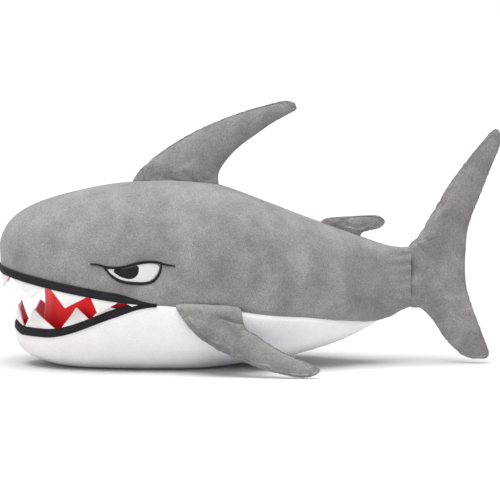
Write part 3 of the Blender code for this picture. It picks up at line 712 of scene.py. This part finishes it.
def make_eyes(back, looks):
    find = surface_below(back)
    for side_name, side in (("left", -1.0), ("right", 1.0)):
        pieces = [
            (make_patch(f"eye_white_{side_name}_stitching", EYE_WHITE, find, side, 0.5, 0.25),
             "eye_white", "white"),
            (make_patch(f"eye_pupil_{side_name}_stitching", EYE_PUPIL, find, side, 0.6, 0.75),
             "eye_pupil", "black"),
            (make_line(f"eye_brow_line_{side_name}_stitching", BROW_LINE, find, side, 1.5, 0.3),
             "eye_brow_line",
             "black"),
            (make_line(f"eye_lower_line_{side_name}_stitching", LOWER_LID_LINE, find, side, 1.3, 0.3),
             "eye_lower_line", "black"),
        ]
        for piece, node, colour in pieces:
            dress(piece, looks[colour + "_thread"])
            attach(piece, "trunk")
            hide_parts(f"{node}_{side_name}")


# ---- fins ----
FIN_EDGE = 1.5
FIN_ROUND = 34            # points across one side of a fin
FIN_FULLNESS = 0.62       # a lower power is fuller towards the sewn edge


def fin_grid(table, out, steps_per_row=9):
    """A stuffed fin as closed rings round its chord: a full middle, and a sewn edge all round."""
    rows = []
    for row in table:
        front, rear, half = row[0], row[1], row[2]
        if len(front) == 2:
            front, rear = (front[0], 0.0, front[1]), (rear[0], 0.0, rear[1])
        rows.append([*front, *rear, half, row[3] if len(row) > 3 else 0.0])
    fine = through(rows, np.linspace(0.0, len(rows) - 1.0, (len(rows) - 1) * steps_per_row + 1))
    turn = np.linspace(0.0, 2.0 * math.pi, 2 * FIN_ROUND, endpoint=False)
    share = 0.5 - 0.5 * np.cos(turn)
    side = np.sign(np.sin(turn)) * (np.abs(np.sin(turn)) > 1e-9)
    chord = (1.0 - (2.0 * share - 1.0) ** 2) ** FIN_FULLNESS
    front, rear = fine[:, None, :3], fine[:, None, 3:6]
    half = np.maximum(fine[:, None, 6] - FIN_EDGE, 0.2)
    opened = np.where(share[None, :] < 0.5, fine[:, None, 7] * np.sqrt(np.abs(np.sin(turn)))[None, :], 0.0)
    swell = FIN_EDGE * np.abs(np.sin(turn))[None, :] ** 0.5 + half * np.maximum(chord[None, :], opened)
    middle = front + (rear - front) * share[None, :, None]
    return middle + np.array(out) * (side * swell)[..., None]


def fin_edge_seam(points, front_place, depth=1.3):
    """A fine groove between the two panels; front_place moves it round from the front edge."""
    columns = points.shape[1]
    middle = points.mean(axis=1, keepdims=True)
    inward = middle - points
    inward /= np.maximum(np.linalg.norm(inward, axis=2, keepdims=True), 1e-6)
    at_edge = np.zeros(columns)
    for edge in (front_place, columns // 2):
        away = np.minimum(np.abs(np.arange(columns) - edge), columns - np.abs(np.arange(columns) - edge))
        at_edge += np.exp(-(away / 0.8) ** 2)
    return points + inward * (depth * at_edge)[None, :, None]


def fin_wrinkles(points, out, amount, seed):
    """Slack cloth near the seams: short ridges that run in from the edge."""
    columns = points.shape[1]
    share = 0.5 - 0.5 * np.cos(np.linspace(0.0, 2.0 * math.pi, columns, endpoint=False))
    near_edge = share * np.exp(-((share * 4.0) ** 2)) + (1.0 - share) * np.exp(-(((1.0 - share) * 4.0) ** 2))
    ripple = 3.0 * soft_noise(points, 14.0, seed) * near_edge[None, :] + soft_noise(points, 38.0, seed + 2.0)
    side = np.sign(np.sin(np.linspace(0.0, 2.0 * math.pi, columns, endpoint=False) + 1e-9))
    return points + np.array(out) * (amount * ripple * side[None, :])[..., None]


def close_ends(item, rows, columns):
    """Closes a fin's root and tip with a small fan each."""
    shape = bmesh.new()
    shape.from_mesh(item.data)
    shape.verts.ensure_lookup_table()
    rings = [[shape.verts[row * columns + column] for column in range(columns)] for row in (0, rows - 1)]
    caps = [shape.faces.new(ring) for ring in rings]
    bmesh.ops.poke(shape, faces=caps)
    bmesh.ops.recalc_face_normals(shape, faces=shape.faces)
    if shape.calc_volume(signed=True) < 0.0:
        bmesh.ops.reverse_faces(shape, faces=shape.faces)
    shape.to_mesh(item.data)
    shape.free()


def fold_crease(points, out, start, end, depth=2.4, width=3.4):
    """A fold in a fin's outer side, from start to end (x, z), with the cloth puffed up above it."""
    start, end = np.array(start), np.array(end)
    line = end - start
    place = points[..., (0, 2)] - start
    share = np.sum(place * line, axis=2) / np.sum(line * line)
    above = (line[0] * place[..., 1] - line[1] * place[..., 0]) / np.linalg.norm(line)
    fade = smoothstep(-0.25, 0.2, share) * smoothstep(1.4, 1.0, share)
    outer = np.arange(points.shape[1])[None, :] < points.shape[1] // 2
    valley = -depth * np.exp(-(above / width) ** 2)
    swell = 0.7 * depth * np.exp(-((above - 2.4 * width) / (2.0 * width)) ** 2)
    fold = valley + swell
    return points + np.array(out) * (fold * fade * outer)[..., None]


def make_fin(name, table, out, seed, root_rows, seam_place=0, crease=None):
    points = fin_grid(table, out)
    points = fin_wrinkles(points, out, 0.5, seed)
    points = fin_edge_seam(points, seam_place)
    if crease:
        points = fold_crease(points, out, *crease)
    fin = grid_mesh(name, points, closed=True)
    close_ends(fin, *points.shape[:2])
    stuff(fin, points, root_rows, seam_place)
    return fin


def stuff(fin, points, root_rows, seam_place, pressure=3.0, most=2.2, frames=14):
    """Blows the fin's cloth out against its stitched edge and root, which stay where they are."""
    rows, columns = points.shape[:2]
    held = fin.vertex_groups.new(name="held")
    edges = (0, 1, columns - 1, columns // 2 - 1, columns // 2, columns // 2 + 1, seam_place)
    for row in range(rows):
        for column in range(columns):
            weight = 1.0 if row in root_rows or column in edges or row == rows - 1 else 0.0
            if weight:
                held.add([row * columns + column], weight, "REPLACE")
    held.add(list(range(rows * columns, len(fin.data.vertices))), 1.0, "REPLACE")
    before = np.array([vertex.co for vertex in fin.data.vertices])
    cloth = fin.modifiers.new("Cloth", "CLOTH")
    settings = cloth.settings
    settings.quality = 5
    settings.mass = 0.1
    settings.use_pressure = True
    settings.uniform_pressure_force = pressure
    settings.shrink_min = -0.04
    settings.tension_stiffness = 18.0
    settings.compression_stiffness = 18.0
    settings.bending_stiffness = 0.4
    settings.vertex_group_mass = "held"
    settings.effector_weights.gravity = 0.0
    cloth.collision_settings.use_collision = False
    scene = bpy.context.scene
    for step in range(1, frames + 1):
        scene.frame_set(step)
    apply_modifiers(fin)
    scene.frame_set(1)
    after = np.array([vertex.co for vertex in fin.data.vertices])
    moved = after - before
    length = np.linalg.norm(moved, axis=1, keepdims=True)
    capped = before + moved * np.minimum(1.0, most * MM / np.maximum(length, 1e-9))
    fin.data.vertices.foreach_set("co", capped.astype(np.float32).ravel())
    fin.data.update()


# ---- materials ----
def new_material(name):
    material = bpy.data.materials.new(name)
    material.use_nodes = True
    tree = material.node_tree
    return material, tree, tree.nodes["Principled BSDF"]


def add_node(tree, kind):
    return tree.nodes.new(kind)


def noise_at(tree, place, scale, detail=2.0, roughness=0.5):
    node = add_node(tree, "ShaderNodeTexNoise")
    node.inputs["Scale"].default_value = scale
    node.inputs["Detail"].default_value = detail
    node.inputs["Roughness"].default_value = roughness
    tree.links.new(place, node.inputs["Vector"])
    return node.outputs["Fac"]


def object_place(tree):
    return add_node(tree, "ShaderNodeTexCoord").outputs["Object"]


def colour_ramp(tree, factor, stops):
    ramp = tree.nodes.new("ShaderNodeValToRGB")
    while len(ramp.color_ramp.elements) < len(stops):
        ramp.color_ramp.elements.new(0.5)
    for element, (position, colour) in zip(ramp.color_ramp.elements, stops):
        element.position = position
        element.color = (*colour, 1.0)
    tree.links.new(factor, ramp.inputs["Fac"])
    return ramp.outputs["Color"]


def blend_values(tree, first, second, share):
    node = tree.nodes.new("ShaderNodeMix")
    node.data_type = "FLOAT"
    node.inputs[0].default_value = share
    tree.links.new(first, node.inputs[2])
    tree.links.new(second, node.inputs[3])
    return node.outputs[0]


def multiply_colours(tree, first, second):
    node = tree.nodes.new("ShaderNodeMix")
    node.data_type = "RGBA"
    node.blend_type = "MULTIPLY"
    node.inputs[0].default_value = 1.0
    tree.links.new(first, node.inputs[6])
    tree.links.new(second, node.inputs[7])
    return node.outputs[2]


def add_bump(tree, shader, height, distance, strength=1.0, after=None):
    bump = tree.nodes.new("ShaderNodeBump")
    bump.inputs["Distance"].default_value = distance
    bump.inputs["Strength"].default_value = strength
    tree.links.new(height, bump.inputs["Height"])
    if after is not None:
        tree.links.new(after, bump.inputs["Normal"])
    tree.links.new(bump.outputs["Normal"], shader.inputs["Normal"])
    return bump.outputs["Normal"]


def plush(name, dark, light, sheen, speck):
    """Short pile: fine tufts, patches where the nap lies another way, and a sheen at glancing angles."""
    material, tree, shader = new_material(name)
    place = object_place(tree)
    tufts = noise_at(tree, place, 760.0, 2.0, 0.6)
    nap = noise_at(tree, place, 34.0, 4.0, 0.6)
    patches = noise_at(tree, place, 9.0, 2.0, 0.5)
    lying = colour_ramp(tree, blend_values(tree, nap, patches, 0.45), [(0.36, dark), (0.64, light)])
    speckle = colour_ramp(tree, tufts, [(0.40, (speck, speck, speck)), (0.60, (1.0, 1.0, 1.0))])
    tree.links.new(multiply_colours(tree, lying, speckle), shader.inputs["Base Color"])
    shader.inputs["Roughness"].default_value = 0.95
    shader.inputs["Specular IOR Level"].default_value = 0.12
    shader.inputs["Sheen Weight"].default_value = sheen
    shader.inputs["Sheen Roughness"].default_value = 0.45
    clumps = noise_at(tree, place, 330.0, 2.0, 0.55)
    first = add_bump(tree, shader, clumps, 0.0007, 0.6)
    add_bump(tree, shader, tufts, 0.0005, 0.8, first)
    return material


def binding_material():
    """Woven black tape: a fine twill, slightly worn on its folds."""
    material, tree, shader = new_material("black_binding")
    place = object_place(tree)
    weave = add_node(tree, "ShaderNodeTexWave")
    weave.bands_direction = "DIAGONAL"
    weave.inputs["Scale"].default_value = 620.0
    weave.inputs["Distortion"].default_value = 1.2
    weave.inputs["Detail"].default_value = 1.0
    tree.links.new(place, weave.inputs["Vector"])
    wear = noise_at(tree, place, 60.0, 3.0)
    both = blend_values(tree, wear, weave.outputs["Fac"], 0.35)
    colours = [(0.25, (0.009, 0.008, 0.010)), (0.8, (0.021, 0.019, 0.023))]
    tree.links.new(colour_ramp(tree, both, colours), shader.inputs["Base Color"])
    shader.inputs["Roughness"].default_value = 0.8
    shader.inputs["Specular IOR Level"].default_value = 0.25
    shader.inputs["Sheen Weight"].default_value = 0.06
    shader.inputs["Sheen Roughness"].default_value = 0.4
    add_bump(tree, shader, weave.outputs["Fac"], 0.0003, 0.6)
    return material


def satin_material():
    """Red satin: smooth, with a soft gloss and fine threads."""
    material, tree, shader = new_material("red_satin")
    place = object_place(tree)
    threads = add_node(tree, "ShaderNodeTexWave")
    threads.bands_direction = "Y"
    threads.inputs["Scale"].default_value = 900.0
    threads.inputs["Distortion"].default_value = 0.8
    tree.links.new(place, threads.inputs["Vector"])
    shade = noise_at(tree, place, 24.0, 3.0)
    colours = [(0.25, (0.80, 0.004, 0.010)), (0.75, (0.98, 0.008, 0.018))]
    tree.links.new(colour_ramp(tree, shade, colours), shader.inputs["Base Color"])
    shader.inputs["Roughness"].default_value = 0.42
    shader.inputs["Specular IOR Level"].default_value = 0.25
    add_bump(tree, shader, threads.outputs["Fac"], 0.0001, 0.4)
    return material


def felt_material():
    """White felt: matted fibres with a fuzzy cut edge."""
    material, tree, shader = new_material("white_felt")
    place = object_place(tree)
    fibres = noise_at(tree, place, 700.0, 5.0, 0.7)
    shade = noise_at(tree, place, 90.0, 2.0)
    both = blend_values(tree, shade, fibres, 0.5)
    colours = [(0.25, (0.76, 0.755, 0.75)), (0.7, (0.93, 0.925, 0.92))]
    tree.links.new(colour_ramp(tree, both, colours), shader.inputs["Base Color"])
    shader.inputs["Roughness"].default_value = 0.95
    shader.inputs["Sheen Weight"].default_value = 0.3
    add_bump(tree, shader, fibres, 0.0004, 0.6)
    return material


def thread_material(name, dark, light):
    """Satin stitch: close parallel threads with a slight gloss."""
    material, tree, shader = new_material(name)
    place = object_place(tree)
    strands = add_node(tree, "ShaderNodeTexWave")
    strands.bands_direction = "X"
    strands.inputs["Scale"].default_value = 420.0
    strands.inputs["Distortion"].default_value = 1.5
    strands.inputs["Detail"].default_value = 1.5
    tree.links.new(place, strands.inputs["Vector"])
    tree.links.new(colour_ramp(tree, strands.outputs["Fac"], [(0.1, dark), (0.8, light)]),
                   shader.inputs["Base Color"])
    shader.inputs["Roughness"].default_value = 0.55
    shader.inputs["Specular IOR Level"].default_value = 0.3
    add_bump(tree, shader, strands.outputs["Fac"], 0.0004, 0.8)
    return material


def make_materials():
    return {
        "grey_plush": plush("grey_plush", (0.22, 0.214, 0.212), (0.35, 0.34, 0.337), 0.2, 0.70),
        "white_plush": plush("white_plush", (0.89, 0.865, 0.90), (0.96, 0.935, 0.97), 0.1, 0.93),
        "black_binding": binding_material(),
        "red_satin": satin_material(),
        "white_felt": felt_material(),
        "black_thread": thread_material("black_thread", (0.006, 0.005, 0.007), (0.016, 0.014, 0.018)),
        "white_thread": thread_material("white_thread", (0.72, 0.72, 0.74), (0.90, 0.90, 0.92)),
    }


# ---- camera, light and floor ----
VIEW_HEIGHT = 0.1374
VIEW_ELEVATION = math.radians(5.5)
VIEW_DISTANCE = 3.0
TOP_LIGHT = 4.6
CEILING = 0.28
FLOOR_SHADE = 0.65
SUN_ANGLE = math.radians(55.0)


def aim(item, target):
    item.rotation_mode = "QUATERNION"
    item.rotation_quaternion = (Vector(target) - item.location).to_track_quat("-Z", "Y")


def make_camera():
    data = bpy.data.cameras.new("camera")
    data.lens = 180.0
    camera = bpy.data.objects.new("camera", data)
    bpy.context.scene.collection.objects.link(camera)
    camera.location = (0.0, -VIEW_DISTANCE * math.cos(VIEW_ELEVATION),
                       VIEW_HEIGHT + VIEW_DISTANCE * math.sin(VIEW_ELEVATION))
    aim(camera, (0.0, 0.0, VIEW_HEIGHT))
    bpy.context.scene.camera = camera


def make_sun():
    """One wide, soft light from above, a little towards the camera and the head."""
    data = bpy.data.lights.new("soft_top_light", "SUN")
    data.energy = TOP_LIGHT
    data.angle = SUN_ANGLE
    light = bpy.data.objects.new("soft_top_light", data)
    light.location = (-0.25, -0.5, 3.0)
    bpy.context.scene.collection.objects.link(light)
    aim(light, (0.0, 0.0, 0.0))


def make_world():
    """A studio with a dim ceiling and white walls round the horizon."""
    world = bpy.data.worlds.new("studio")
    world.use_nodes = True
    tree = world.node_tree
    split = tree.nodes.new("ShaderNodeSeparateXYZ")
    tree.links.new(add_node(tree, "ShaderNodeTexCoord").outputs["Generated"], split.inputs["Vector"])
    wall_stops = [(0.10, (1.0, 1.0, 1.0)), (0.35, (CEILING, CEILING, CEILING))]
    walls = colour_ramp(tree, split.outputs["Z"], wall_stops)
    tree.links.new(walls, tree.nodes["Background"].inputs["Color"])
    bpy.context.scene.world = world


def make_studio():
    make_camera()
    make_sun()
    make_world()
    bpy.context.scene.view_settings.view_transform = "Standard"
    mesh = bpy.data.meshes.new("floor")
    far = 400.0
    mesh.from_pydata([(-far, -far, 0), (far, -far, 0), (far, far, 0), (-far, far, 0)], [], [(0, 1, 2, 3)])
    floor = bpy.data.objects.new("floor", mesh)
    bpy.context.scene.collection.objects.link(floor)
    material, _tree, shader = new_material("pale_floor")
    shader.inputs["Base Color"].default_value = (FLOOR_SHADE, FLOOR_SHADE, FLOOR_SHADE, 1.0)
    shader.inputs["Roughness"].default_value = 1.0
    shader.inputs["Specular IOR Level"].default_value = 0.0
    floor.data.materials.append(material)


# ---- the shark ----
def add_body(looks):
    back = make_back()
    dress(back, looks["grey_plush"])
    apply_modifiers(back)
    make_eyes(back, looks)
    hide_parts("back_skin_left", "back_skin_right", "body_filling")
    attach(back, "trunk")
    under = make_underside()
    apply_modifiers(under)
    dress(under, looks["white_plush"])
    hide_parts("belly_skin", "chin_skin", "jaw_filling")
    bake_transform(under)


def add_mouth(looks):
    upper = make_binding("upper_lip_tape", upper_lip, HEAD_RIDGE)
    lower = make_binding("lower_lip_tape", lower_lip, JAW_KEEL)
    palate = make_palate()
    floor = make_mouth_floor()
    wall = make_mouth_wall(palate, floor)
    upper_pieces = (
        (upper, "black_binding", "upper_lip_binding"),
        (palate, "red_satin", "palate_lining"),
    )
    for piece, look, node in upper_pieces:
        apply_modifiers(piece)
        dress(piece, looks[look])
        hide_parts(node)
        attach(piece, "trunk")
    for piece, look, node in ((lower, "black_binding", "lower_lip_binding"), (floor, "red_satin",
                                                                              "mouth_floor_lining")):
        apply_modifiers(piece)
        dress(piece, looks[look])
        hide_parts(node)
        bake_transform(piece)
    apply_modifiers(wall)
    dress(wall, looks["red_satin"])
    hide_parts("mouth_wall_lining")
    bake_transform(wall)
    for body, teeth in (("trunk", make_teeth("upper", upper_lip, UPPER_TEETH, -1.0)),
                        ("jaw", make_teeth("lower", lower_lip, LOWER_TEETH, 1.0))):
        for tooth, node in teeth:
            dress(tooth, looks["white_felt"])
            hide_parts(node)
            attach(tooth, body)


def add_fin(looks, name, table, out, seed, root_rows, nodes, seam_place=0, crease=None):
    fin = make_fin(name + "_plush", table, out, seed, root_rows, seam_place, crease)
    dress(fin, looks["grey_plush"])
    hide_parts(*nodes)
    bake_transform(fin)
    return fin


def add_fins(looks):
    across = (0.0, 1.0, 0.0)
    add_fin(looks, "dorsal_fin", DORSAL_FIN, across, 1.0, range(0, 11),
            ("dorsal_fin_left_panel", "dorsal_fin_right_panel", "dorsal_fin_filling"))
    add_fin(looks, "rear_dorsal_fin", REAR_DORSAL_FIN, across, 2.0, range(0, 11),
            ("rear_dorsal_fin_left_panel", "rear_dorsal_fin_right_panel", "rear_dorsal_fin_filling"))
    add_fin(looks, "tail_fin", TAIL_FIN, across, 3.0, (0,),
            ("tail_fin_left_panel", "tail_fin_right_panel", "tail_fin_filling"))
    for side_name, side in (("left", -1.0), ("right", 1.0)):
        table = []
        for front, rear, half in PECTORAL_FIN:
            table.append(((front[0], -side * front[1], front[2]), (rear[0], -side * rear[1], rear[2]), half))
        name = "pectoral_fin_" + side_name
        nodes = (f"{name}_outer_panel", f"{name}_inner_panel", f"{name}_filling")
        add_fin(looks, name, table, (0.0, side * PECTORAL_OUT[0], PECTORAL_OUT[1]), 4.0, range(0, 11), nodes,
                6, PECTORAL_CREASE)


def main():
    looks = make_materials()
    make_studio()
    add_body(looks)
    add_mouth(looks)
    add_fins(looks)


main()
